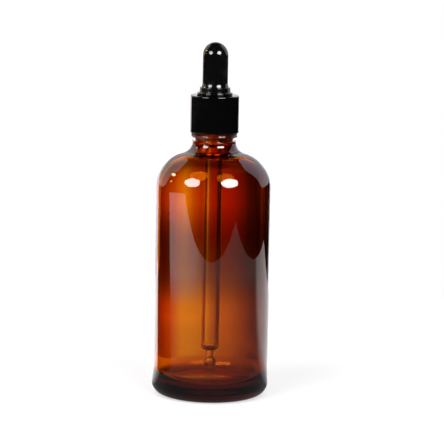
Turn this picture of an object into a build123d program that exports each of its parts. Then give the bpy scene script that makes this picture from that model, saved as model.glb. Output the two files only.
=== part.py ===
from build123d import *
import os
from math import atan2, degrees, sqrt

# Dropper bottle: glass bottle, screw collar, rubber teat and glass pipette.
# Millimetres. The origin is the middle of the base, on the surface that the
# bottle stands on, and the bottle's axis is +Z.

# Bottle, outside
body_diameter = 45.0
bottle_height = 113.0
heel_radius = 4.7
bearing_width = 1.3
push_up_depth = 1.6
shoulder_radius = 14.0
neck_blend_radius = 4.0
ledge_height = 0.4615

# Bottle, glass thickness
body_wall = 2.1
neck_wall = 2.0
base_thickness = 3.5
floor_crown = 0.6
inner_heel_radius = 5.5
mouth_blend_radius = 2.5

# Neck finish, every radius counted from the thread
thread_diameter = 17.5
thread_depth = 1.0
rim_rounding = 0.6
bead_overhang = 0.4
bead_height = 1.55
bead_rounding = 0.4
groove_depth = 0.25
groove_height = 1.25
ledge_inset = 0.2

# Collar
collar_wall = 0.7
collar_height = 14.3
collar_top_thickness = 1.5
collar_rounding = 0.4
collar_mouth_chamfer = 0.3
thread_clearance = 0.1
bead_clearance = 0.3

# Glass pipette
pipette_diameter = 7.0
pipette_wall = 0.9
pipette_tip_level = 10.2
pipette_insertion = 4.5
tip_ball_diameter = 4.8
tip_end_diameter = 2.6
tip_hole_diameter = 1.4
tip_neck_diameter = 3.4
tip_neck_length = 3.2
tip_wall = 0.75

# Rubber teat
bulb_height = 20.2
bulb_wall = 1.75
seat_ledge = 0.225
flare_width = 0.4
flare_height = 1.8
ring_step = 0.55
ring_taper = 0.2
ring_height = 1.9
lip_overhang = 0.8
lip_height = 1.1
lip_rounding = 0.4
teat_neck_wall = 1.5
hole_clearance = 0.2
flange_thickness = 1.3
flange_inset = 0.25
face_clearance = 0.05

# Radii
body_radius = body_diameter / 2
cavity_radius = body_radius - body_wall
thread_radius = thread_diameter / 2
root_radius = thread_radius - thread_depth
bore_radius = root_radius - neck_wall
bead_radius = thread_radius + bead_overhang
groove_radius = root_radius - groove_depth
ledge_radius = thread_radius - ledge_inset
collar_bore_radius = thread_radius + thread_clearance
collar_radius = collar_bore_radius + collar_wall
pipette_radius = pipette_diameter / 2
chamber_radius = pipette_radius - seat_ledge
bulb_radius = chamber_radius + bulb_wall
flare_radius = bulb_radius + flare_width
ring_radius = flare_radius + ring_step
lip_radius = ring_radius + ring_taper + lip_overhang
teat_neck_radius = pipette_radius + teat_neck_wall
collar_hole_radius = teat_neck_radius + hole_clearance
flange_radius = root_radius - flange_inset

# Levels, from the glass rim up through the teat's groove
flange_bottom = bottle_height + face_clearance
flange_top = flange_bottom + flange_thickness
collar_ceiling = flange_top + face_clearance
collar_top = collar_ceiling + collar_top_thickness
lip_bottom = collar_top + face_clearance
lip_top = lip_bottom + lip_height
ring_top = lip_top + ring_height
flare_top = ring_top + flare_height
pipette_top = lip_bottom + pipette_insertion
teat_top = collar_top + bulb_height
dome_level = teat_top - bulb_radius

# Levels, from the collar's lower edge down the neck
collar_bottom = collar_top - collar_height
bead_top = collar_bottom - bead_clearance
bead_bottom = bead_top - bead_height
ledge_top = bead_bottom - groove_height
floor_level = push_up_depth + base_thickness


def turned(profile):
    """Solid of revolution about +Z from a closed half-profile."""
    return revolve(profile.sketch, Axis.Z)


def corners(*points, close=False):
    """Straight runs through (radius, level, rounding) corners."""
    roundings = [point[2] for point in points]
    if not close:
        roundings = roundings[1:-1]
    return FilletPolyline(*[point[:2] for point in points], radius=roundings, close=close)


def dish(edge_radius, edge_level, middle_level):
    """Shallow arc from the edge of a disc to its middle, level at the axis."""
    rise = middle_level - edge_level
    sphere = (edge_radius ** 2 + rise ** 2) / (2 * rise)
    half = edge_radius / 2
    sag = sphere - sqrt(sphere ** 2 - half ** 2)
    return ThreePointArc((edge_radius, edge_level), (half, middle_level - sag), (0, middle_level))


def blend(arc_middle, arc_radius, line_radius, rounding):
    """Rounding between an arc and an upright line: its rise over the arc's centre, and its bearing."""
    offset = line_radius + rounding - arc_middle
    rise = sqrt((arc_radius + rounding) ** 2 - offset ** 2)
    return rise, degrees(atan2(rise, offset))


def make_bottle():
    shoulder_middle = body_radius - shoulder_radius
    inner_shoulder_radius = shoulder_radius - body_wall
    neck_rise, neck_angle = blend(shoulder_middle, shoulder_radius, ledge_radius, neck_blend_radius)
    mouth_rise, mouth_angle = blend(
        shoulder_middle, inner_shoulder_radius, bore_radius, mouth_blend_radius
    )
    neck = (ledge_radius + neck_blend_radius, ledge_top - ledge_height)
    shoulder = (shoulder_middle, neck[1] - neck_rise)
    mouth = (bore_radius + mouth_blend_radius, shoulder[1] + mouth_rise)
    heel = (body_radius - heel_radius, heel_radius)
    inner_heel = (cavity_radius - inner_heel_radius, floor_level + inner_heel_radius)
    bearing_inner = heel[0] - bearing_width
    edge = min(bead_rounding, bead_height / 3)
    rim = min(rim_rounding, neck_wall / 3)
    with BuildSketch(Plane.XZ) as profile:
        with BuildLine():
            dish(bearing_inner, 0, push_up_depth)
            Line((bearing_inner, 0), (heel[0], 0))
            CenterArc(heel, heel_radius, -90, 90)
            Line((body_radius, heel_radius), (body_radius, shoulder[1]))
            CenterArc(shoulder, shoulder_radius, 0, neck_angle)
            CenterArc(neck, neck_blend_radius, 180 + neck_angle, -neck_angle)
            corners(
                (ledge_radius, neck[1], 0),
                (ledge_radius, ledge_top, edge / 2),
                (groove_radius, ledge_top, 0),
                (groove_radius, bead_bottom, 0),
                (bead_radius, bead_bottom, edge),
                (bead_radius, bead_top, edge),
                (root_radius, bead_top, 0),
                (root_radius, bottle_height, rim),
                (bore_radius, bottle_height, rim),
                (bore_radius, mouth[1], 0),
            )
            CenterArc(mouth, mouth_blend_radius, 180, mouth_angle)
            CenterArc(shoulder, inner_shoulder_radius, mouth_angle, -mouth_angle)
            Line((cavity_radius, shoulder[1]), (cavity_radius, inner_heel[1]))
            CenterArc(inner_heel, inner_heel_radius, 0, -90)
            dish(inner_heel[0], floor_level, floor_level + floor_crown)
            Line((0, floor_level + floor_crown), (0, push_up_depth))
        make_face()
    return turned(profile)


def make_collar():
    edge = min(collar_rounding, collar_wall / 2, collar_top_thickness / 3)
    chamfer = min(collar_mouth_chamfer, collar_wall / 2)
    with BuildSketch(Plane.XZ) as profile:
        with BuildLine():
            corners(
                (collar_bore_radius + chamfer, collar_bottom, 0),
                (collar_radius, collar_bottom, edge / 2),
                (collar_radius, collar_top, edge),
                (collar_hole_radius, collar_top, 0),
                (collar_hole_radius, collar_ceiling, 0),
                (collar_bore_radius, collar_ceiling, edge),
                (collar_bore_radius, collar_bottom + chamfer, 0),
                close=True,
            )
        make_face()
    return turned(profile)


def make_teat():
    lip_edge = min(lip_rounding, lip_height / 3)
    step_edge = min(ring_step, ring_height) / 3
    flange_edge = flange_thickness / 4
    with BuildSketch(Plane.XZ) as profile:
        with BuildLine():
            CenterArc((0, dome_level), bulb_radius, 90, -90)
            Line((bulb_radius, dome_level), (bulb_radius, flare_top))
            TangentArc((bulb_radius, flare_top), (flare_radius, ring_top), tangent=(0, -1))
            corners(
                (flare_radius, ring_top, 0),
                (ring_radius, ring_top, step_edge),
                (ring_radius + ring_taper, lip_top, 0),
                (lip_radius, lip_top, lip_edge),
                (lip_radius, lip_bottom, lip_edge),
                (teat_neck_radius, lip_bottom, 0),
                (teat_neck_radius, flange_top, 0),
                (flange_radius, flange_top, flange_edge),
                (flange_radius, flange_bottom, flange_edge),
                (pipette_radius, flange_bottom, 0),
                (pipette_radius, pipette_top, 0),
                (chamber_radius, pipette_top, 0),
                (chamber_radius, dome_level, 0),
            )
            CenterArc((0, dome_level), chamber_radius, 0, 90)
            Line((0, dome_level + chamber_radius), (0, teat_top))
        make_face()
    return turned(profile)


def make_pipette():
    """Drawn glass tube: rounded in to a thin neck, then blown out to a small hollow ball."""
    tube_bore = pipette_radius - pipette_wall
    neck_radius = tip_neck_diameter / 2
    neck_bore = neck_radius - tip_wall
    ball_radius = tip_ball_diameter / 2
    ball_bore = ball_radius - tip_wall
    end_radius = tip_end_diameter / 2
    hole_radius = tip_hole_diameter / 2
    ball_level = pipette_tip_level + sqrt(ball_radius ** 2 - end_radius ** 2)
    ball_end_angle = degrees(atan2(pipette_tip_level - ball_level, end_radius))
    ball_neck_rise = sqrt(ball_radius ** 2 - neck_radius ** 2)
    ball_neck_angle = degrees(atan2(ball_neck_rise, neck_radius))
    bore_neck_rise = sqrt(ball_bore ** 2 - neck_bore ** 2)
    bore_neck_angle = degrees(atan2(bore_neck_rise, neck_bore))
    bore_hole_drop = sqrt(ball_bore ** 2 - hole_radius ** 2)
    bore_hole_angle = degrees(atan2(bore_hole_drop, hole_radius))
    shoulder_bottom = ball_level + ball_neck_rise + tip_neck_length
    shoulder_rounding = pipette_radius - neck_radius
    shoulder_level = shoulder_bottom + shoulder_rounding
    inner_rounding = tube_bore - neck_bore
    inner_shoulder_level = shoulder_bottom + tip_wall + inner_rounding
    fire_polish = pipette_wall / 3
    with BuildSketch(Plane.XZ) as profile:
        with BuildLine():
            Line((hole_radius, pipette_tip_level), (end_radius, pipette_tip_level))
            CenterArc((0, ball_level), ball_radius, ball_end_angle, ball_neck_angle - ball_end_angle)
            Line((neck_radius, ball_level + ball_neck_rise), (neck_radius, shoulder_bottom))
            CenterArc((neck_radius, shoulder_level), shoulder_rounding, -90, 90)
            corners(
                (pipette_radius, shoulder_level, 0),
                (pipette_radius, pipette_top, fire_polish),
                (tube_bore, pipette_top, fire_polish),
                (tube_bore, inner_shoulder_level, 0),
            )
            CenterArc((neck_bore, inner_shoulder_level), inner_rounding, 0, -90)
            Line((neck_bore, shoulder_bottom + tip_wall), (neck_bore, ball_level + bore_neck_rise))
            CenterArc((0, ball_level), ball_bore, bore_neck_angle, -bore_neck_angle - bore_hole_angle)
            Line((hole_radius, ball_level - bore_hole_drop), (hole_radius, pipette_tip_level))
        make_face()
    return turned(profile)


os.makedirs("parts", exist_ok=True)
export_step(make_bottle(), "parts/bottle.step")
export_step(make_collar(), "parts/collar.step")
export_step(make_teat(), "parts/teat.step")
export_step(make_pipette(), "parts/pipette.step")
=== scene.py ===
import bpy
from math import asin, atan2, copysign, cos, degrees, hypot, pi, radians, sin, sqrt, tan
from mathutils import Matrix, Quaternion, Vector


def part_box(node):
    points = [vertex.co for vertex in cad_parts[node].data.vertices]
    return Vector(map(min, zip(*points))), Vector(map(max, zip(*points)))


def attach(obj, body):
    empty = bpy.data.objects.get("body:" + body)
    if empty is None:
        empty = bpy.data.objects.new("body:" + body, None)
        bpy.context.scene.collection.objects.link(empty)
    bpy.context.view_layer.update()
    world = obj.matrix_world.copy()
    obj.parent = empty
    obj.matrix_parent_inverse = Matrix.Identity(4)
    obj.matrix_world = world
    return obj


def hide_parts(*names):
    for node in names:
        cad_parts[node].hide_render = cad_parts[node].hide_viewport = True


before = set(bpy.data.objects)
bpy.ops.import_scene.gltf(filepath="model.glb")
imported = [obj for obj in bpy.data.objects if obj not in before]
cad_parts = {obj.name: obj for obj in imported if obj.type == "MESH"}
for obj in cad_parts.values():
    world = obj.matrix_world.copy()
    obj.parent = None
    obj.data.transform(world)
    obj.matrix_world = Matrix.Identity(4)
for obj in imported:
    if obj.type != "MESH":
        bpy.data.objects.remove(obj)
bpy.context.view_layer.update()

# All sizes below are millimetres, and Blender's unit is the metre
mm = 0.001
seamGap = 0.001 * mm  # points closer than this are one point
# a long run gets a ring this far from each end, so a rounding's shading stays at the rounding
holdGap = 0.12
longRun = 5 * holdGap

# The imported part's own sizes, which the looks are fitted to
bottleLow, bottleHigh = (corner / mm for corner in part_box("bottle"))
collarLow, collarHigh = (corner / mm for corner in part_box("collar"))
teatLow, teatHigh = (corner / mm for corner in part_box("teat"))
pipetteLow, pipetteHigh = (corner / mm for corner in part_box("pipette"))


def roundRadius(low, high):
    # facets make one side of a round box a hair smaller, so the smallest side counts
    return min(high.x, high.y, -low.x, -low.y)


bodyRadius = roundRadius(bottleLow, bottleHigh)
collarRadius = roundRadius(collarLow, collarHigh)
flangeRadius = roundRadius(teatLow, teatHigh)
pipetteRadius = roundRadius(pipetteLow, pipetteHigh)


# Drawing a half profile in the XZ plane and spinning it round

pen = {"radius": 0.0, "level": 0.0}


def deselectAll():
    bpy.ops.object.select_all(action="DESELECT")


def startProfile(name, radius, level):
    # a plane merged to a single point, which the profile is extruded from
    deselectAll()
    bpy.ops.mesh.primitive_plane_add(size=mm, location=(0, 0, 0))
    piece = bpy.context.active_object
    piece.name = name
    piece.data.name = name
    bpy.ops.object.mode_set(mode="EDIT")
    bpy.ops.mesh.select_all(action="SELECT")
    bpy.ops.mesh.merge(type="CENTER")
    bpy.ops.transform.translate(value=(radius * mm, 0, level * mm))
    pen.update(radius=radius, level=level)
    return piece


def lineTo(radius, level, steps=1):
    start = (pen["radius"], pen["level"])
    length = hypot(radius - start[0], level - start[1])
    shares = [(step + 1) / steps for step in range(steps)]
    if length / steps > longRun:
        shares = sorted([holdGap / length, *shares, 1 - holdGap / length])
    reached = 0.0
    for share in shares:
        across = (radius - start[0]) * (share - reached)
        up = (level - start[1]) * (share - reached)
        step = (across * mm, 0, up * mm)
        bpy.ops.mesh.extrude_region_move(TRANSFORM_OT_translate={"value": step})
        reached = share
    pen.update(radius=radius, level=level)


def arcTo(middle, turn, steps):
    # turn in degrees, anticlockwise with the radius to the right and the level up
    centre = (middle[0] * mm, 0, middle[1] * mm)
    bpy.ops.mesh.spin(steps=steps, dupli=False, angle=radians(turn), center=centre, axis=(0, 1, 0))
    across = pen["radius"] - middle[0]
    up = pen["level"] - middle[1]
    swing = radians(turn)
    pen.update(
        radius=middle[0] + across * cos(swing) - up * sin(swing),
        level=middle[1] + across * sin(swing) + up * cos(swing),
    )


def alongCorners(corners, steps=4):
    # straight runs through (radius, level, rounding) corners
    for index, (radius, level, rounding) in enumerate(corners):
        if rounding == 0 or index == len(corners) - 1:
            lineTo(radius, level)
            continue
        before = Vector((radius - pen["radius"], level - pen["level"])).normalized()
        after = Vector((corners[index + 1][0] - radius, corners[index + 1][1] - level)).normalized()
        turn = atan2(before.x * after.y - before.y * after.x, before.dot(after))
        setBack = rounding * tan(abs(turn) / 2)
        lineTo(radius - before.x * setBack, level - before.y * setBack)
        side = copysign(rounding, turn)
        middle = (pen["radius"] - before.y * side, pen["level"] + before.x * side)
        arcTo(middle, degrees(turn), steps)


def joinEnds():
    bpy.ops.mesh.select_all(action="SELECT")
    bpy.ops.mesh.remove_doubles(threshold=seamGap)


def spinRound(segments):
    bpy.ops.mesh.select_all(action="SELECT")
    bpy.ops.mesh.spin(steps=segments, dupli=False, angle=2 * pi, center=(0, 0, 0), axis=(0, 0, 1))
    joinEnds()
    bpy.ops.mesh.normals_make_consistent(inside=False)
    bpy.ops.object.mode_set(mode="OBJECT")


def applyModifiers(piece):
    deselectAll()
    piece.select_set(True)
    bpy.context.view_layer.objects.active = piece
    for modifier in list(piece.modifiers):
        bpy.ops.object.modifier_apply(modifier=modifier.name)


def smoothByAngle(piece, angle):
    deselectAll()
    piece.select_set(True)
    bpy.context.view_layer.objects.active = piece
    bpy.ops.object.shade_smooth_by_angle(angle=radians(angle))


def selectNothing(mode="VERT"):
    bpy.ops.object.mode_set(mode="EDIT")
    bpy.ops.mesh.select_mode(type=mode)
    bpy.ops.mesh.select_all(action="DESELECT")
    bpy.ops.object.mode_set(mode="OBJECT")


def makeThread(name, thread, rootRadius, crestRadius):
    # the ridge's section is screwed up round the axis, and its ends run out into the wall
    half = thread["rootWidth"] / 2
    crestHalf = thread["crestWidth"] / 2
    start = thread["start"]
    ridge = startProfile(name, rootRadius, start - half)
    alongCorners(
        [
            (crestRadius, start - crestHalf, thread["rounding"]),
            (crestRadius, start + crestHalf, thread["rounding"]),
            (rootRadius, start + half, 0),
        ],
        steps=3,
    )
    lineTo(rootRadius, start - half)
    joinEnds()
    bpy.ops.object.mode_set(mode="OBJECT")
    ringPoints = len(ridge.data.vertices)
    turnSteps = thread["steps"]
    screw = ridge.modifiers.new("screw", "SCREW")
    screw.angle = 2 * pi * thread["turns"]
    screw.screw_offset = thread["pitch"] * thread["turns"] * mm
    screw.steps = int(turnSteps * thread["turns"])
    screw.render_steps = screw.steps
    screw.use_merge_vertices = False
    applyModifiers(ridge)
    rings = len(ridge.data.vertices) // ringPoints
    fade = int(turnSteps * thread["runOut"] / 360)
    for count in range(fade):
        share = sin(pi / 2 * (count + thread["tip"]) / fade)
        for ring in (count, rings - 1 - count):
            selectNothing()
            points = ridge.data.vertices[ring * ringPoints : (ring + 1) * ringPoints]
            middle = sum((point.co for point in points), Vector()) / ringPoints
            outward = Vector((middle.x, middle.y, 0)).normalized() * rootRadius * mm
            for point in points:
                point.select = True
            bpy.ops.object.mode_set(mode="EDIT")
            bpy.ops.transform.resize(
                value=(share, share, share), center_override=(outward.x, outward.y, middle.z)
            )
            bpy.ops.object.mode_set(mode="OBJECT")
    bpy.ops.object.mode_set(mode="EDIT")
    bpy.ops.mesh.select_all(action="SELECT")
    bpy.ops.mesh.fill_holes(sides=0)
    bpy.ops.mesh.select_all(action="SELECT")
    bpy.ops.mesh.normals_make_consistent(inside=False)
    bpy.ops.object.mode_set(mode="OBJECT")
    return ridge


def weldOn(piece, ridge):
    weld = piece.modifiers.new("weld", "BOOLEAN")
    weld.operation = "UNION"
    weld.solver = "EXACT"
    weld.object = ridge
    applyModifiers(piece)
    bpy.data.objects.remove(ridge)


def selectWhere(piece, test):
    # selects the points that test picks, by their place
    selectNothing()
    for point in piece.data.vertices:
        point.select = test(hypot(point.co.x, point.co.y) / mm, point.co.z / mm)


# Amber bottle

bottleSizes = {
    "segments": 192,
    "heelRadius": 4.7,
    "bearingWidth": 1.3,
    "pushUp": 1.6,
    "shoulderRadius": 14.0,
    "neckBlend": 4.0,
    "ledgeHeight": 0.4615,
    "wall": 2.1,
    "neckWall": 2.0,
    "baseThickness": 3.5,
    "floorCrown": 0.6,
    "innerHeel": 5.5,
    "mouthBlend": 2.5,
    "threadRadius": 8.75,
    "threadDepth": 1.0,
    "rimRounding": 0.6,
    "beadOverhang": 0.4,
    "beadHeight": 1.55,
    "beadRounding": 0.7,
    "beadGap": 0.3,
    "grooveDepth": 0.25,
    "grooveHeight": 1.25,
    "ledgeInset": 0.2,
    "softCorner": 0.18,
    "wallRings": 60,
    "waveHeight": 0.10,
    "waveSize": 16.0,
    "waveAboveFloor": 1.0,
    "waveAboveShoulder": 8.0,
    "stippleDepth": 0.15,
    "stippleInset": 0.12,
    "smoothAngle": 40,
}
neckThread = {
    "pitch": 3.0,
    "turns": 1.75,
    "start": 103.9,
    "rootWidth": 1.5,
    "crestWidth": 0.6,
    "rounding": 0.2,
    "steps": 96,
    "runOut": 60,
    "tip": 0.02,
    "sink": 0.2,
}


def blendRise(arcMiddle, arcRadius, lineRadius, rounding):
    # how far a rounding's centre lies above the arc's that it joins to an upright line
    offset = lineRadius + rounding - arcMiddle
    rise = sqrt((arcRadius + rounding) ** 2 - offset ** 2)
    return rise, degrees(atan2(rise, offset))


def dishSphere(edgeRadius, rise):
    return (edgeRadius ** 2 + rise ** 2) / (2 * rise)


def makeBottle():
    s = bottleSizes
    rootRadius = s["threadRadius"] - s["threadDepth"]
    boreRadius = rootRadius - s["neckWall"]
    beadRadius = s["threadRadius"] + s["beadOverhang"]
    grooveRadius = rootRadius - s["grooveDepth"]
    ledgeRadius = s["threadRadius"] - s["ledgeInset"]
    cavityRadius = bodyRadius - s["wall"]
    rimLevel = bottleHigh.z
    beadTop = collarLow.z - s["beadGap"]
    beadBottom = beadTop - s["beadHeight"]
    ledgeTop = beadBottom - s["grooveHeight"]
    floorLevel = s["pushUp"] + s["baseThickness"]
    heelMiddle = bodyRadius - s["heelRadius"]
    bearingInner = heelMiddle - s["bearingWidth"]
    shoulderMiddle = bodyRadius - s["shoulderRadius"]
    innerShoulder = s["shoulderRadius"] - s["wall"]
    neckRise, neckAngle = blendRise(
        shoulderMiddle, s["shoulderRadius"], ledgeRadius, s["neckBlend"]
    )
    mouthRise, mouthAngle = blendRise(shoulderMiddle, innerShoulder, boreRadius, s["mouthBlend"])
    neckLevel = ledgeTop - s["ledgeHeight"]
    shoulderLevel = neckLevel - neckRise
    mouthLevel = shoulderLevel + mouthRise
    innerHeelMiddle = cavityRadius - s["innerHeel"]
    innerHeelLevel = floorLevel + s["innerHeel"]

    # outside, from the middle of the base up to the rim
    bottle = startProfile("amberBottle", 0, s["pushUp"])
    sphere = dishSphere(bearingInner, s["pushUp"])
    arcTo((0, s["pushUp"] - sphere), -degrees(asin(bearingInner / sphere)), 12)
    lineTo(heelMiddle, 0)
    arcTo((heelMiddle, s["heelRadius"]), 90, 12)
    lineTo(bodyRadius, shoulderLevel, 12)
    arcTo((shoulderMiddle, shoulderLevel), neckAngle, 24)
    arcTo((ledgeRadius + s["neckBlend"], neckLevel), -neckAngle, 14)
    soft = s["softCorner"]
    alongCorners(
        [
            (ledgeRadius, ledgeTop, soft),
            (grooveRadius, ledgeTop, soft),
            (grooveRadius, beadBottom, soft),
            (beadRadius, beadBottom, s["beadRounding"]),
            (beadRadius, beadTop, s["beadRounding"]),
            (rootRadius, beadTop, soft),
            (rootRadius, rimLevel, s["rimRounding"]),
            (boreRadius, rimLevel, s["rimRounding"]),
            (boreRadius, mouthLevel, 0),
        ],
        steps=5,
    )
    # inside, down to the middle of the floor
    arcTo((boreRadius + s["mouthBlend"], mouthLevel), mouthAngle, 12)
    arcTo((shoulderMiddle, shoulderLevel), -mouthAngle, 24)
    lineTo(cavityRadius, innerHeelLevel, s["wallRings"])
    arcTo((innerHeelMiddle, innerHeelLevel), -90, 12)
    sphere = dishSphere(innerHeelMiddle, s["floorCrown"])
    arcTo((0, floorLevel + s["floorCrown"] - sphere), degrees(asin(innerHeelMiddle / sphere)), 12)
    spinRound(s["segments"])

    # blown glass is never even inside: slow waves in the inner wall
    innerSide = bodyRadius - s["wall"] / 2
    waveBottom = floorLevel + s["waveAboveFloor"]
    waveTop = shoulderLevel + s["waveAboveShoulder"]
    selectWhere(bottle, lambda radius, level: radius < innerSide and waveBottom < level < waveTop)
    bpy.ops.object.mode_set(mode="EDIT")
    bpy.ops.object.vertex_group_add()
    bpy.ops.object.vertex_group_assign()
    bpy.ops.object.mode_set(mode="OBJECT")
    waves = bpy.data.textures.new("innerWaves", "CLOUDS")
    waves.noise_scale = s["waveSize"] * mm
    displace = bottle.modifiers.new("waves", "DISPLACE")
    displace.texture = waves
    displace.texture_coords = "LOCAL"
    displace.strength = s["waveHeight"] * mm
    displace.mid_level = 0.5
    displace.vertex_group = bottle.vertex_groups[0].name
    applyModifiers(bottle)

    # stippled bearing ring, every second face pressed up a little
    ringLevel = s["stippleDepth"] * 0.5
    selectNothing("FACE")
    ring = [
        face
        for face in bottle.data.polygons
        if face.center.z / mm < ringLevel
        and hypot(face.center.x, face.center.y) / mm > bearingInner
        and face.normal.z < -0.99
    ]
    ring.sort(key=lambda face: atan2(face.center.y, face.center.x))
    for face in ring[::2]:
        face.select = True
    bpy.ops.object.mode_set(mode="EDIT")
    bpy.ops.mesh.inset(thickness=s["stippleInset"] * mm, depth=0, use_individual=True)
    bpy.ops.transform.translate(value=(0, 0, s["stippleDepth"] * mm))
    bpy.ops.object.mode_set(mode="OBJECT")

    ridgeRoot = rootRadius - neckThread["sink"]
    weldOn(bottle, makeThread("neckRidge", neckThread, ridgeRoot, s["threadRadius"]))
    smoothByAngle(bottle, s["smoothAngle"])
    return bottle


# Screw collar

collarSizes = {
    "segments": 160,
    "wall": 0.7,
    "topThickness": 1.5,
    "rounding": 0.4,
    "footRounding": 0.2,
    "mouthChamfer": 0.3,
    "holeRadius": 5.2,
    "holeRounding": 0.15,
    "smoothAngle": 35,
}
collarThread = {
    "pitch": 3.0,
    "turns": 1.75,
    "start": 105.4,
    "rootWidth": 1.3,
    "crestWidth": 0.5,
    "rounding": 0.15,
    "steps": 96,
    "runOut": 60,
    "tip": 0.02,
    "sink": 0.2,
    "clearance": 0.1,
}


def makeCollar():
    s = collarSizes
    foot = collarLow.z
    top = collarHigh.z
    boreRadius = collarRadius - s["wall"]
    ceiling = top - s["topThickness"]
    chamfer = s["mouthChamfer"]
    collar = startProfile("screwCollar", boreRadius + chamfer, foot)
    alongCorners(
        [
            (collarRadius, foot, s["footRounding"]),
            (collarRadius, top, s["rounding"]),
            (s["holeRadius"], top, s["holeRounding"]),
            (s["holeRadius"], ceiling, s["holeRounding"]),
            (boreRadius, ceiling, s["rounding"]),
            (boreRadius, foot + chamfer, 0),
            (boreRadius + chamfer, foot, 0),
        ],
        steps=5,
    )
    joinEnds()
    spinRound(s["segments"])
    ridgeRoot = boreRadius + collarThread["sink"]
    ridgeCrest = boreRadius - bottleSizes["threadDepth"] + collarThread["clearance"]
    weldOn(collar, makeThread("collarRidge", collarThread, ridgeRoot, ridgeCrest))
    smoothByAngle(collar, s["smoothAngle"])
    return collar


# Rubber teat

teatSizes = {
    "segments": 144,
    "bulbRadius": 5.025,
    "bulbWall": 1.75,
    "flareWidth": 0.4,
    "flareHeight": 1.8,
    "ringStep": 0.55,
    "ringTaper": 0.2,
    "ringHeight": 1.9,
    "lipOverhang": 0.8,
    "lipHeight": 1.1,
    "rounding": 0.36,
    "softCorner": 0.15,
    "neckRadius": 5.0,
    "seatGap": 0.05,
    "grip": 0.01,
    "smoothAngle": 40,
}


def makeTeat():
    s = teatSizes
    bulb = s["bulbRadius"]
    chamber = bulb - s["bulbWall"]
    domeLevel = teatHigh.z - bulb
    lipBottom = collarHigh.z + s["seatGap"]
    lipTop = lipBottom + s["lipHeight"]
    ringTop = lipTop + s["ringHeight"]
    flareTop = ringTop + s["flareHeight"]
    flare = bulb + s["flareWidth"]
    ring = flare + s["ringStep"]
    lip = ring + s["ringTaper"] + s["lipOverhang"]
    flangeTop = collarHigh.z - collarSizes["topThickness"] - s["seatGap"]
    flangeBottom = teatLow.z
    bore = pipetteRadius + s["grip"]
    sweep = dishSphere(s["flareHeight"], s["flareWidth"])
    soft = s["softCorner"]

    teat = startProfile("rubberTeat", 0, teatHigh.z)
    arcTo((0, domeLevel), -90, 24)
    lineTo(bulb, flareTop, 4)
    arcTo((bulb + sweep, flareTop), degrees(asin(s["flareHeight"] / sweep)), 8)
    alongCorners(
        [
            (ring, ringTop, soft),
            (ring + s["ringTaper"], lipTop, soft),
            (lip, lipTop, s["rounding"]),
            (lip, lipBottom, s["rounding"]),
            (s["neckRadius"], lipBottom, soft),
            (s["neckRadius"], flangeTop, soft),
            (flangeRadius, flangeTop, s["rounding"]),
            (flangeRadius, flangeBottom, s["rounding"]),
            (bore, flangeBottom, soft),
            (bore, pipetteHigh.z, 0),
            (chamber, pipetteHigh.z, 0),
            (chamber, domeLevel, 0),
        ],
        steps=6,
    )
    arcTo((0, domeLevel), 90, 16)
    spinRound(s["segments"])
    smoothByAngle(teat, s["smoothAngle"])
    return teat


# Glass pipette

pipetteSizes = {
    "segments": 96,
    "wall": 0.9,
    "ballRadius": 2.4,
    "endRadius": 1.3,
    "holeRadius": 0.7,
    "neckRadius": 1.7,
    "neckLength": 3.2,
    "tipWall": 0.75,
    "firePolish": 0.3,
    "smoothAngle": 50,
}


def makePipette():
    s = pipetteSizes
    tipLevel = pipetteLow.z
    ball = s["ballRadius"]
    ballBore = ball - s["tipWall"]
    neck = s["neckRadius"]
    neckBore = neck - s["tipWall"]
    tubeBore = pipetteRadius - s["wall"]
    hole = s["holeRadius"]
    ballLevel = tipLevel + sqrt(ball ** 2 - s["endRadius"] ** 2)
    endAngle = degrees(atan2(tipLevel - ballLevel, s["endRadius"]))
    ballRise = sqrt(ball ** 2 - neck ** 2)
    boreRise = sqrt(ballBore ** 2 - neckBore ** 2)
    holeDrop = sqrt(ballBore ** 2 - hole ** 2)
    shoulderBottom = ballLevel + ballRise + s["neckLength"]
    shoulder = pipetteRadius - neck
    innerShoulder = tubeBore - neckBore
    innerLevel = shoulderBottom + s["tipWall"] + innerShoulder

    pipette = startProfile("glassPipette", hole, tipLevel)
    lineTo(s["endRadius"], tipLevel)
    arcTo((0, ballLevel), degrees(atan2(ballRise, neck)) - endAngle, 14)
    lineTo(neck, shoulderBottom, 3)
    arcTo((neck, shoulderBottom + shoulder), 90, 10)
    alongCorners(
        [
            (pipetteRadius, pipetteHigh.z, s["firePolish"]),
            (tubeBore, pipetteHigh.z, s["firePolish"]),
            (tubeBore, innerLevel, 0),
        ]
    )
    arcTo((neckBore, innerLevel), -90, 10)
    lineTo(neckBore, ballLevel + boreRise, 3)
    arcTo((0, ballLevel), -degrees(atan2(boreRise, neckBore) + atan2(holeDrop, hole)), 14)
    lineTo(hole, tipLevel)
    joinEnds()
    spinRound(s["segments"])
    smoothByAngle(pipette, s["smoothAngle"])
    return pipette


# Shader groups that several finishes share

def newGroup(name, inputs, outputs):
    group = bpy.data.node_groups.new(name, "ShaderNodeTree")
    for label, kind, value in inputs:
        socket = group.interface.new_socket(name=label, in_out="INPUT", socket_type=kind)
        socket.default_value = value
    for label, kind in outputs:
        group.interface.new_socket(name=label, in_out="OUTPUT", socket_type=kind)
    entry = group.nodes.new("NodeGroupInput")
    leave = group.nodes.new("NodeGroupOutput")
    return group, entry, leave


def addNode(tree, kind, **settings):
    node = tree.nodes.new(kind)
    for label, value in settings.items():
        if hasattr(node, label):
            setattr(node, label, value)
        else:
            node.inputs[label].default_value = value
    return node


def mathNode(tree, operation, first, second):
    # first and second are numbers, or other nodes' outputs
    node = addNode(tree, "ShaderNodeMath", operation=operation)
    for socket, value in zip(node.inputs, (first, second)):
        if isinstance(value, (int, float)):
            socket.default_value = value
        else:
            tree.links.new(value, socket)
    return node.outputs["Value"]


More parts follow.
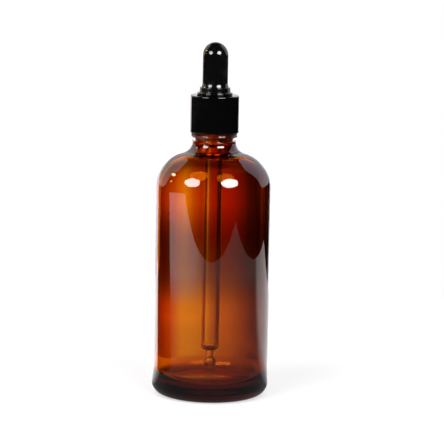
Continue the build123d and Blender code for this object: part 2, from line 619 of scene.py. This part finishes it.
def rangeNode(tree, source, low, high, fromLow=0.0, fromHigh=1.0):
    # fromLow..fromHigh becomes low..high
    node = tree.nodes.new("ShaderNodeMapRange")
    node.inputs["From Min"].default_value = fromLow
    node.inputs["From Max"].default_value = fromHigh
    node.inputs["To Min"].default_value = low
    node.inputs["To Max"].default_value = high
    tree.links.new(source, node.inputs["Value"])
    return node.outputs["Result"]


def makeGrainGroup():
    # fine uneven skin of moulded plastic or rubber: a mask and a normal
    group, entry, leave = newGroup(
        "mouldedGrain",
        [
            ("Scale", "NodeSocketFloat", 600.0),
            ("Depth", "NodeSocketFloat", 0.05),
        ],
        [("Mask", "NodeSocketFloat"), ("Normal", "NodeSocketVector")],
    )
    place = addNode(group, "ShaderNodeTexCoord")
    noise = addNode(group, "ShaderNodeTexNoise", Detail=4.0, Roughness=0.6)
    bump = addNode(group, "ShaderNodeBump", Distance=0.0002)
    group.links.new(place.outputs["Object"], noise.inputs["Vector"])
    group.links.new(entry.outputs["Scale"], noise.inputs["Scale"])
    group.links.new(noise.outputs["Fac"], bump.inputs["Height"])
    group.links.new(entry.outputs["Depth"], bump.inputs["Strength"])
    group.links.new(noise.outputs["Fac"], leave.inputs["Mask"])
    group.links.new(bump.outputs["Normal"], leave.inputs["Normal"])
    return group


def makeHandlingGroup():
    # soft smudges and a few dust specks left by handling: a mask
    group, entry, leave = newGroup(
        "handlingMarks",
        [
            ("Smudges", "NodeSocketFloat", 0.5),
            ("Dust", "NodeSocketFloat", 0.3),
        ],
        [("Mask", "NodeSocketFloat")],
    )
    place = addNode(group, "ShaderNodeTexCoord")
    cloud = addNode(group, "ShaderNodeTexNoise", Scale=70.0, Detail=3.0, Distortion=0.6)
    speck = addNode(group, "ShaderNodeTexVoronoi", Scale=260.0)
    for texture in (cloud, speck):
        group.links.new(place.outputs["Object"], texture.inputs["Vector"])
    cloudEdge = rangeNode(group, cloud.outputs["Fac"], 0.0, 1.0, 0.52, 0.72)
    speckEdge = rangeNode(group, speck.outputs["Distance"], 0.0, 1.0, 0.09, 0.03)
    smudge = mathNode(group, "MULTIPLY", cloudEdge, entry.outputs["Smudges"])
    dust = mathNode(group, "MULTIPLY", speckEdge, entry.outputs["Dust"])
    group.links.new(mathNode(group, "MAXIMUM", smudge, dust), leave.inputs["Mask"])
    return group


def makeFlowGroup():
    # long drawn streaks and slow ripples of formed glass: a mask and a normal
    group, entry, leave = newGroup(
        "glassFlow",
        [
            ("Scale", "NodeSocketFloat", 60.0),
            ("Stretch", "NodeSocketFloat", 0.25),
            ("Depth", "NodeSocketFloat", 0.1),
        ],
        [("Mask", "NodeSocketFloat"), ("Normal", "NodeSocketVector")],
    )
    place = addNode(group, "ShaderNodeTexCoord")
    shape = addNode(group, "ShaderNodeCombineXYZ", X=1.0, Y=1.0)
    squeeze = addNode(group, "ShaderNodeVectorMath", operation="MULTIPLY")
    noise = addNode(group, "ShaderNodeTexNoise", Detail=2.0, Roughness=0.45)
    bump = addNode(group, "ShaderNodeBump", Distance=0.0004)
    group.links.new(entry.outputs["Stretch"], shape.inputs["Z"])
    group.links.new(place.outputs["Object"], squeeze.inputs[0])
    group.links.new(shape.outputs["Vector"], squeeze.inputs[1])
    group.links.new(squeeze.outputs["Vector"], noise.inputs["Vector"])
    group.links.new(entry.outputs["Scale"], noise.inputs["Scale"])
    group.links.new(noise.outputs["Fac"], bump.inputs["Height"])
    group.links.new(entry.outputs["Depth"], bump.inputs["Strength"])
    group.links.new(noise.outputs["Fac"], leave.inputs["Mask"])
    group.links.new(bump.outputs["Normal"], leave.inputs["Normal"])
    return group


def addGroup(tree, group, **values):
    node = tree.nodes.new("ShaderNodeGroup")
    node.node_tree = group
    for label, value in values.items():
        node.inputs[label].default_value = value
    return node


def newMaterial(name):
    material = bpy.data.materials.new(name)
    material.use_nodes = True
    return material, material.node_tree, material.node_tree.nodes["Principled BSDF"]


def mixColours(tree, factor, first, second):
    # first and second are colours, or other nodes' outputs
    node = tree.nodes.new("ShaderNodeMix")
    node.data_type = "RGBA"
    for label, value in (("A", first), ("B", second)):
        if isinstance(value, tuple):
            node.inputs[label].default_value = (*value, 1)
        else:
            tree.links.new(value, node.inputs[label])
    tree.links.new(factor, node.inputs["Factor"])
    return node.outputs["Result"]


amberFinish = {
    "thin": (1.0, 0.97, 0.90),
    "streak": (0.98, 0.92, 0.80),
    "absorbed": (0.94, 0.72, 0.0),
    "density": 1340.0,
    "ior": 1.52,
    "polish": 0.0,
    "smudge": 0.05,
}


def makeAmberGlass(flow, handling):
    f = amberFinish
    material, tree, shader = newMaterial("amberGlass")
    streaks = addGroup(tree, flow, Scale=55.0, Stretch=0.2, Depth=0.06)
    marks = addGroup(tree, handling, Smudges=0.5, Dust=0.6)
    colour = mixColours(tree, streaks.outputs["Mask"], f["thin"], f["streak"])
    tree.links.new(colour, shader.inputs["Base Color"])
    roughness = rangeNode(tree, marks.outputs["Mask"], f["polish"], f["smudge"])
    tree.links.new(roughness, shader.inputs["Roughness"])
    tree.links.new(streaks.outputs["Normal"], shader.inputs["Normal"])
    shader.inputs["Transmission Weight"].default_value = 1.0
    shader.inputs["IOR"].default_value = f["ior"]
    depth = tree.nodes.new("ShaderNodeVolumeAbsorption")
    depth.inputs["Color"].default_value = (*f["absorbed"], 1)
    depth.inputs["Density"].default_value = f["density"]
    tree.links.new(depth.outputs["Volume"], tree.nodes["Material Output"].inputs["Volume"])
    return material


pipetteFinish = {
    "clear": (1.0, 1.0, 1.0),
    "streak": (0.97, 0.985, 0.98),
    "ior": 1.5,
    "smudge": 0.04,
}


def makeClearGlass(flow, handling):
    f = pipetteFinish
    material, tree, shader = newMaterial("clearGlass")
    streaks = addGroup(tree, flow, Scale=160.0, Stretch=0.08, Depth=0.05)
    marks = addGroup(tree, handling, Smudges=0.4, Dust=0.3)
    colour = mixColours(tree, streaks.outputs["Mask"], f["clear"], f["streak"])
    tree.links.new(colour, shader.inputs["Base Color"])
    roughness = rangeNode(tree, marks.outputs["Mask"], 0.0, f["smudge"])
    tree.links.new(roughness, shader.inputs["Roughness"])
    tree.links.new(streaks.outputs["Normal"], shader.inputs["Normal"])
    shader.inputs["Transmission Weight"].default_value = 1.0
    shader.inputs["IOR"].default_value = f["ior"]
    return material


collarFinish = {
    "black": (0.0015, 0.0015, 0.0017),
    "worn": (0.006, 0.006, 0.0065),
    "polish": 0.06,
    "dull": 0.11,
}


def makeCollarPlastic(grain, handling):
    f = collarFinish
    material, tree, shader = newMaterial("collarPlastic")
    skin = addGroup(tree, grain, Scale=900.0, Depth=0.03)
    marks = addGroup(tree, handling, Smudges=0.7, Dust=0.5)
    colour = mixColours(tree, marks.outputs["Mask"], f["black"], f["worn"])
    tree.links.new(colour, shader.inputs["Base Color"])
    roughness = rangeNode(tree, marks.outputs["Mask"], f["polish"], f["dull"])
    tree.links.new(roughness, shader.inputs["Roughness"])
    tree.links.new(skin.outputs["Normal"], shader.inputs["Normal"])
    return material


teatFinish = {
    "black": (0.002, 0.002, 0.0022),
    "bloom": (0.008, 0.0078, 0.0078),
    "polish": 0.10,
    "dull": 0.17,
}


def makeTeatRubber(grain, handling):
    f = teatFinish
    material, tree, shader = newMaterial("teatRubber")
    skin = addGroup(tree, grain, Scale=1500.0, Depth=0.10)
    marks = addGroup(tree, handling, Smudges=0.8, Dust=0.8)
    colour = mixColours(tree, marks.outputs["Mask"], f["black"], f["bloom"])
    tree.links.new(colour, shader.inputs["Base Color"])
    roughness = rangeNode(tree, marks.outputs["Mask"], f["polish"], f["dull"])
    tree.links.new(roughness, shader.inputs["Roughness"])
    tree.links.new(skin.outputs["Normal"], shader.inputs["Normal"])
    return material


# Camera

cameraPlace = {
    "from": (0.0, -855.0, 197.0),
    "at": (3.69, 0.0, 66.99),
    "lens": 182.4,
    "sensor": 36.0,
    "roll": 1.1,
    "clip": (0.05, 20.0),
}


def makeCamera():
    c = cameraPlace
    deselectAll()
    bpy.ops.object.camera_add(location=Vector(c["from"]) * mm)
    camera = bpy.context.active_object
    camera.name = "productCamera"
    look = (Vector(c["at"]) - Vector(c["from"])).to_track_quat("-Z", "Y")
    camera.rotation_mode = "QUATERNION"
    camera.rotation_quaternion = look @ Quaternion((0, 0, 1), radians(c["roll"]))
    camera.data.lens = c["lens"]
    camera.data.sensor_width = c["sensor"]
    camera.data.clip_start, camera.data.clip_end = c["clip"]
    bpy.context.scene.camera = camera


# Studio: pale table, dark room in front, cards and lamps

studio = {
    "tableLeft": -600.0,
    "tableRight": 345.0,
    "tableFront": -345.0,
    "tableBack": 205.0,
    "tableWhite": 0.9,
    "shadowShare": 0.4,
    "worldLight": 0.5,
    "roomRadius": 1500.0,
    "roomCut": 1130.0,
    "roomCutFacing": (-0.122, 0.9925, 0.0),
    "roomMiddle": 60.0,
    "roomTone": (0.004, 0.0035, 0.003),
    "panelAim": 90.0,
    "lampAim": 60.0,
    "lampDistance": 1000.0,
    "lampSize": 0.6,
}
# azimuth, elevation and watts
lamps = {
    "keyLamp": (-43.0, 50.0, 9.0),
    "fillLamp": (34.0, 45.0, 7.0),
}
# Painted light and shade on the table, which only gloss and glass see: gloss sees it bright to the
# left and behind, and dim in front and near the bottle. Light through the glass sees a painted
# shadow under the bottle, painted warm light round it on the left, and dark further out
paintedTableLight = {
    "left": 1.9,
    "front": 0.42,
    "backLeft": 3.6,
    "backRight": 1.5,
    "backStart": 5.0,
    "backFull": 45.0,
    "backEdge": 40.0,
    "leftFull": -200.0,
    "leftStart": -60.0,
    "near": 0.22,
    "nearRadius": 200.0,
    "farRadius": 300.0,
    "paintedShadowTone": (0.10, 0.07, 0.06),
    "leftTone": (0.9, 0.62, 0.35),
    "rightTone": (0.22, 0.09, 0.06),
    "farTone": (0.12, 0.03, 0.02),
    "leftEnd": -22.0,
    "rightEnd": 18.0,
    "underRadius": 25.0,
    "aroundRadius": 36.0,
    "awayRadius": 75.0,
    "goneRadius": 110.0,
}
# Card behind the bottle with painted light and shade, as (place in mm, tone) across and (place in
# mm, level) upward
paintedLightCard = {
    "distance": 60.0,
    "halfWidth": 70.0,
    "height": 120.0,
    "acrossLow": [
        (-70, (0.9, 0.8, 0.8)),
        (-58, (0.6, 0.3, 0.25)),
        (-46, (0.5, 0.1, 0.05)),
        (-30, (0.9, 0.27, 0.1)),
        (-22, (0.98, 0.45, 0.2)),
        (-15, (1.1, 1.15, 0.6)),
        (-8, (1.0, 0.95, 0.5)),
        (1, (0.80, 0.50, 0.3)),
        (9, (0.62, 0.38, 0.2)),
        (15, (0.40, 0.22, 0.1)),
        (22, (0.20, 0.09, 0.05)),
        (30, (0.08, 0.03, 0.02)),
        (52, (0.03, 0.01, 0.01)),
        (70, (0.3, 0.25, 0.3)),
    ],
    "acrossHigh": [
        (-70, (1.0, 0.9, 0.9)),
        (-58, (0.8, 0.3, 0.2)),
        (-46, (0.7, 0.12, 0.03)),
        (-32, (1.3, 0.30, 0.05)),
        (-20, (1.5, 0.70, 0.12)),
        (-14, (1.8, 1.60, 0.4)),
        (-9.5, (1.20, 0.50, 0.08)),
        (-6, (0.95, 0.20, 0.04)),
        (0, (0.92, 0.09, 0.02)),
        (8, (0.78, 0.06, 0.01)),
        (14, (0.42, 0.04, 0.01)),
        (19, (0.12, 0.02, 0.01)),
        (30, (0.03, 0.01, 0.01)),
        (56, (0.03, 0.01, 0.01)),
        (70, (0.3, 0.25, 0.3)),
    ],
    "upward": [
        (1, 0.72),
        (6, 0.8),
        (12, 0.85),
        (18, 1.0),
        (23, 0.92),
        (26, 0.75),
        (29, 0.58),
        (33, 0.38),
        (38, 0.29),
        (43, 0.24),
        (48, 0.23),
        (52, 0.25),
        (57, 0.37),
        (62, 0.56),
        (66, 0.72),
        (72, 0.66),
        (79, 0.54),
        (84, 0.36),
        (90, 0.15),
        (101, 0.12),
    ],
    "stripPower": 1.7,
    "stripFull": -26.0,
    "stripEnd": -19.0,
    "lowTop": 30.0,
    "highBottom": 52.0,
}
leftFlag = {"side": -60.0, "front": -16.5, "depth": 42.0, "height": 80.0, "slant": 8.0}
# Lit panels: shape, azimuth, elevation and distance, then width, height, level and tone
panels = {
    "leftBox": ("round", -44.0, 24.0, 900.0, 500.0, 400.0, 16.0, (1, 1, 1)),
    "rightBox": ("round", 35.5, 26.0, 900.0, 540.0, 420.0, 22.0, (1, 1, 1)),
    "sideBox": ("round", -99.0, 28.0, 900.0, 150.0, 100.0, 25.0, (1, 0.8, 0.35)),
    "sideSpot": ("round", -94.0, 14.0, 900.0, 60.0, 60.0, 20.0, (1, 0.8, 0.35)),
    "leftWindow": ("square", -128.0, 25.0, 1300.0, 1080.0, 1350.0, 1.4, (1, 0.85, 0.70)),
    "rightWindow": ("square", 128.0, 26.0, 1300.0, 1080.0, 1300.0, 1.2, (0.95, 0.88, 1.0)),
    "backLeft": ("square", -155.0, -6.0, 1320.0, 1000.0, 1000.0, 3.2, (1.0, 0.92, 1.0)),
    "backRight": ("square", 165.0, -6.0, 1320.0, 600.0, 1000.0, 2.4, (0.95, 0.9, 1.0)),
}


def showTo(card, camera=False, diffuse=False, glossy=True, transmission=True, shadow=False):
    card.visible_camera = camera
    card.visible_diffuse = diffuse
    card.visible_glossy = glossy
    card.visible_transmission = transmission
    card.visible_shadow = shadow


def plainTone(name, tone, strength=1.0):
    material = bpy.data.materials.new(name)
    material.use_nodes = True
    tree = material.node_tree
    tree.nodes.remove(tree.nodes["Principled BSDF"])
    glow = addNode(tree, "ShaderNodeEmission")
    glow.inputs["Color"].default_value = (*tone, 1)
    glow.inputs["Strength"].default_value = strength
    tree.links.new(glow.outputs["Emission"], tree.nodes["Material Output"].inputs["Surface"])
    return material, tree, glow


def seenDirectly(tree):
    # 1 for camera, glossy and transmission rays, which show the background as it is
    path = tree.nodes.new("ShaderNodeLightPath")
    camera = path.outputs["Is Camera Ray"]
    outside = mathNode(tree, "MAXIMUM", camera, path.outputs["Is Glossy Ray"])
    return mathNode(tree, "MAXIMUM", outside, path.outputs["Is Transmission Ray"])


def makeTable():
    s = studio
    deselectAll()
    bpy.ops.mesh.primitive_plane_add(size=1.0, location=(0, 0, 0))
    table = bpy.context.active_object
    table.name = "paleTable"
    bpy.ops.object.mode_set(mode="EDIT")
    bpy.ops.mesh.select_all(action="SELECT")
    width = (s["tableRight"] - s["tableLeft"]) * mm
    depth = (s["tableBack"] - s["tableFront"]) * mm
    bpy.ops.transform.resize(value=(width, depth, 1))
    across = (s["tableRight"] + s["tableLeft"]) / 2
    along = (s["tableBack"] + s["tableFront"]) / 2
    bpy.ops.transform.translate(value=(across * mm, along * mm, 0))
    bpy.ops.object.mode_set(mode="OBJECT")
    table.data.materials.append(makeTableTop())


def makeTableTop():
    s = studio
    g = paintedTableLight
    material, tree, shader = newMaterial("paleTableTop")
    white = s["tableWhite"]
    shader.inputs["Base Color"].default_value = (white, white, white, 1)
    shader.inputs["Roughness"].default_value = 0.6
    shader.inputs["Specular IOR Level"].default_value = 0.2

    place = tree.nodes.new("ShaderNodeTexCoord")
    split = tree.nodes.new("ShaderNodeSeparateXYZ")
    length = addNode(tree, "ShaderNodeVectorMath", operation="LENGTH")
    tree.links.new(place.outputs["Object"], split.inputs["Vector"])
    tree.links.new(place.outputs["Object"], length.inputs[0])
    right = split.outputs["X"]
    away = length.outputs["Value"]

    # painted reflection: gloss sees the table bright to the left and behind, dim in front and near
    # the bottle
    side = rangeNode(tree, right, g["left"], g["front"], g["leftFull"] * mm, g["leftStart"] * mm)
    near = rangeNode(tree, away, 0.0, 1.0, g["nearRadius"] * mm, g["farRadius"] * mm)
    edge = g["backEdge"] * mm
    back = rangeNode(tree, right, g["backLeft"], g["backRight"], -edge, edge)
    rise = rangeNode(tree, split.outputs["Y"], 0.0, 1.0, g["backStart"] * mm, g["backFull"] * mm)
    sides = mathNode(tree, "MULTIPLY", side, near)
    behind = mathNode(tree, "MULTIPLY", back, rise)
    gloss = mathNode(tree, "MAXIMUM", mathNode(tree, "MAXIMUM", sides, behind), g["near"])

    # painted light and shade through the glass: a painted shadow under the bottle, warm painted
    # light to the left, dark further out
    toRight = rangeNode(tree, right, 0.0, 1.0, g["leftEnd"] * mm, g["rightEnd"] * mm)
    around = rangeNode(tree, away, 0.0, 1.0, g["underRadius"] * mm, g["aroundRadius"] * mm)
    gone = rangeNode(tree, away, 0.0, 1.0, g["awayRadius"] * mm, g["goneRadius"] * mm)
    paintedThroughTone = mixColours(tree, toRight, g["leftTone"], g["rightTone"])
    paintedThroughTone = mixColours(tree, around, g["paintedShadowTone"], paintedThroughTone)
    paintedThroughTone = mixColours(tree, gone, paintedThroughTone, g["farTone"])

    # the camera sees plain white with a share of the shadow, gloss and glass see the painted light
    # and shade alone
    path = tree.nodes.new("ShaderNodeLightPath")
    camera = path.outputs["Is Camera Ray"]
    through = path.outputs["Is Transmission Ray"]
    notThrough = mathNode(tree, "SUBTRACT", 1.0, through)
    mirrored = mathNode(tree, "MULTIPLY", path.outputs["Is Glossy Ray"], notThrough)
    strength = mathNode(tree, "MAXIMUM", through, camera)
    strength = mathNode(tree, "ADD", mathNode(tree, "MULTIPLY", mirrored, gloss), strength)
    share = mathNode(tree, "MULTIPLY", camera, 1.0 - s["shadowShare"])
    share = mathNode(tree, "MAXIMUM", share, mathNode(tree, "MAXIMUM", mirrored, through))

    glow = addNode(tree, "ShaderNodeEmission")
    mix = tree.nodes.new("ShaderNodeMixShader")
    tree.links.new(mixColours(tree, through, (1, 1, 1), paintedThroughTone), glow.inputs["Color"])
    tree.links.new(strength, glow.inputs["Strength"])
    tree.links.new(share, mix.inputs["Fac"])
    tree.links.new(shader.outputs["BSDF"], mix.inputs[1])
    tree.links.new(glow.outputs["Emission"], mix.inputs[2])
    tree.links.new(mix.outputs["Shader"], tree.nodes["Material Output"].inputs["Surface"])
    return material


def makeDarkRoom():
    # the unlit room that gloss and glass see in front of the table and above it
    s = studio
    deselectAll()
    middle = (0, 0, s["roomMiddle"] * mm)
    radius = s["roomRadius"] * mm
    bpy.ops.mesh.primitive_uv_sphere_add(segments=48, ring_count=24, radius=radius, location=middle)
    room = bpy.context.active_object
    room.name = "darkRoom"
    bpy.ops.object.mode_set(mode="EDIT")
    bpy.ops.mesh.select_all(action="SELECT")
    facing = Vector(s["roomCutFacing"])
    bpy.ops.mesh.bisect(plane_co=facing * s["roomCut"] * mm, plane_no=facing, clear_outer=True)
    bpy.ops.object.mode_set(mode="OBJECT")
    room.data.materials.append(plainTone("darkRoomWalls", s["roomTone"])[0])
    showTo(room)


def rampNode(tree, source, stops):
    # stops are (position, grey or colour); positions run from 0 to 1
    node = tree.nodes.new("ShaderNodeValToRGB")
    ramp = node.color_ramp
    while len(ramp.elements) > 1:
        ramp.elements.remove(ramp.elements[-1])
    for index, (position, tone) in enumerate(stops):
        element = ramp.elements[0] if index == 0 else ramp.elements.new(position)
        element.position = position
        element.color = (*tone, 1) if isinstance(tone, tuple) else (tone, tone, tone, 1)
    tree.links.new(source, node.inputs["Fac"])
    return node.outputs["Color"]


def makePaintedLightCard():
    # card close behind the bottle with painted light and shade, which only the light through glass
    # shows
    c = paintedLightCard
    deselectAll()
    bpy.ops.mesh.primitive_plane_add(size=1.0, location=(0, 0, 0))
    card = bpy.context.active_object
    card.name = "paintedLightCard"
    bpy.ops.object.mode_set(mode="EDIT")
    bpy.ops.mesh.select_all(action="SELECT")
    bpy.ops.transform.resize(value=(2 * c["halfWidth"] * mm, c["height"] * mm, 1))
    bpy.ops.transform.rotate(value=pi / 2, orient_axis="X", center_override=(0, 0, 0))
    bpy.ops.transform.translate(value=(0, c["distance"] * mm, (c["height"] / 2 + 0.5) * mm))
    bpy.ops.object.mode_set(mode="OBJECT")
    material, tree, glow = plainTone("backCardTone", (1, 1, 1))
    place = tree.nodes.new("ShaderNodeTexCoord")
    split = tree.nodes.new("ShaderNodeSeparateXYZ")
    tree.links.new(place.outputs["Object"], split.inputs["Vector"])
    half = c["halfWidth"]
    right = split.outputs["X"]
    up = split.outputs["Z"]
    across = rangeNode(tree, right, 0.0, 1.0, -half * mm, half * mm)
    upward = rangeNode(tree, up, 0.0, 1.0, 0.0, c["height"] * mm)
    tones = []
    for stops in (c["acrossLow"], c["acrossHigh"]):
        tones.append(rampNode(tree, across, [((x + half) / (2 * half), tone) for x, tone in stops]))
    rise = rangeNode(tree, up, 0.0, 1.0, c["lowTop"] * mm, c["highBottom"] * mm)
    tree.links.new(mixColours(tree, rise, *tones), glow.inputs["Color"])
    # painted shade: the left strip falls off deeper between its bright ends
    level = rampNode(tree, upward, [(z / c["height"], value) for z, value in c["upward"]])
    power = rangeNode(tree, right, c["stripPower"], 1.0, c["stripFull"] * mm, c["stripEnd"] * mm)
    tree.links.new(mathNode(tree, "POWER", level, power), glow.inputs["Strength"])
    card.data.materials.append(material)
    showTo(card, glossy=False)


def aroundBottle(azimuth, elevation, distance):
    # azimuth 0 is towards the camera and grows to its right
    flat = cos(radians(elevation)) * distance
    right = flat * sin(radians(azimuth))
    back = -flat * cos(radians(azimuth))
    return Vector((right, back, sin(radians(elevation)) * distance + studio["panelAim"])) * mm


def turnTowards(thing, place, level):
    # faces a point at this height on the bottle's axis
    thing.rotation_mode = "QUATERNION"
    thing.rotation_quaternion = (place - Vector((0, 0, level * mm))).to_track_quat("Z", "Y")


def makePanel(name, shape, azimuth, elevation, distance, width, height, strength, tone):
    deselectAll()
    if shape == "round":
        bpy.ops.mesh.primitive_circle_add(
            vertices=24, radius=0.5, fill_type="NGON", location=(0, 0, 0)
        )
    else:
        bpy.ops.mesh.primitive_plane_add(size=1.0, location=(0, 0, 0))
    card = bpy.context.active_object
    card.name = name
    bpy.ops.object.mode_set(mode="EDIT")
    bpy.ops.mesh.select_all(action="SELECT")
    bpy.ops.transform.resize(value=(width * mm, height * mm, 1))
    bpy.ops.object.mode_set(mode="OBJECT")
    card.location = aroundBottle(azimuth, elevation, distance)
    turnTowards(card, card.location, studio["panelAim"])
    card.data.materials.append(plainTone(name + "Front", tone, strength)[0])
    showTo(card, transmission=False)


def makeLeftFlag():
    # dark card close to the bottle's left, which only gloss sees, for a painted dark reflection
    f = leftFlag
    deselectAll()
    bpy.ops.mesh.primitive_plane_add(size=1.0, location=(0, 0, 0))
    card = bpy.context.active_object
    card.name = "leftFlag"
    card.scale = (f["depth"] * mm, f["height"] * mm, 1)
    card.rotation_euler = (pi / 2, radians(f["slant"]), pi / 2)
    card.location = (f["side"] * mm, (f["front"] + f["depth"] / 2) * mm, f["height"] / 2 * mm)
    card.data.materials.append(plainTone("leftFlagPaintedDark", (0.002, 0.002, 0.002))[0])
    showTo(card, transmission=False)


def makeLamp(name, azimuth, elevation, watts):
    place = aroundBottle(azimuth, elevation, studio["lampDistance"])
    deselectAll()
    bpy.ops.object.light_add(type="AREA", location=place)
    lamp = bpy.context.active_object
    lamp.name = name
    lamp.data.shape = "DISK"
    lamp.data.size = studio["lampSize"]
    lamp.data.energy = watts
    turnTowards(lamp, place, studio["lampAim"])
    lamp.visible_glossy = False


def makeWorld():
    world = bpy.data.worlds.new("studioLight")
    bpy.context.scene.world = world
    world.use_nodes = True
    tree = world.node_tree
    background = tree.nodes["Background"]
    background.inputs["Color"].default_value = (1, 1, 1, 1)
    strength = rangeNode(tree, seenDirectly(tree), studio["worldLight"], 1.0)
    tree.links.new(strength, background.inputs["Strength"])


# Putting it together

def dress(piece, material, body, node):
    piece.data.materials.clear()
    piece.data.materials.append(material)
    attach(piece, body)
    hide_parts(node)


bpy.context.scene.view_settings.view_transform = "Standard"

print("shader groups")
grain = makeGrainGroup()
handling = makeHandlingGroup()
flow = makeFlowGroup()

print("bottle")
dress(makeBottle(), makeAmberGlass(flow, handling), "bottle", "bottle")
print("collar")
dress(makeCollar(), makeCollarPlastic(grain, handling), "collar", "collar")
print("teat")
dress(makeTeat(), makeTeatRubber(grain, handling), "dropper", "teat")
print("pipette")
dress(makePipette(), makeClearGlass(flow, handling), "dropper", "pipette")

print("studio")
makeTable()
makeDarkRoom()
makePaintedLightCard()
makeLeftFlag()
for name, panel in panels.items():
    makePanel(name, *panel)
for name, lamp in lamps.items():
    makeLamp(name, *lamp)
makeWorld()
makeCamera()
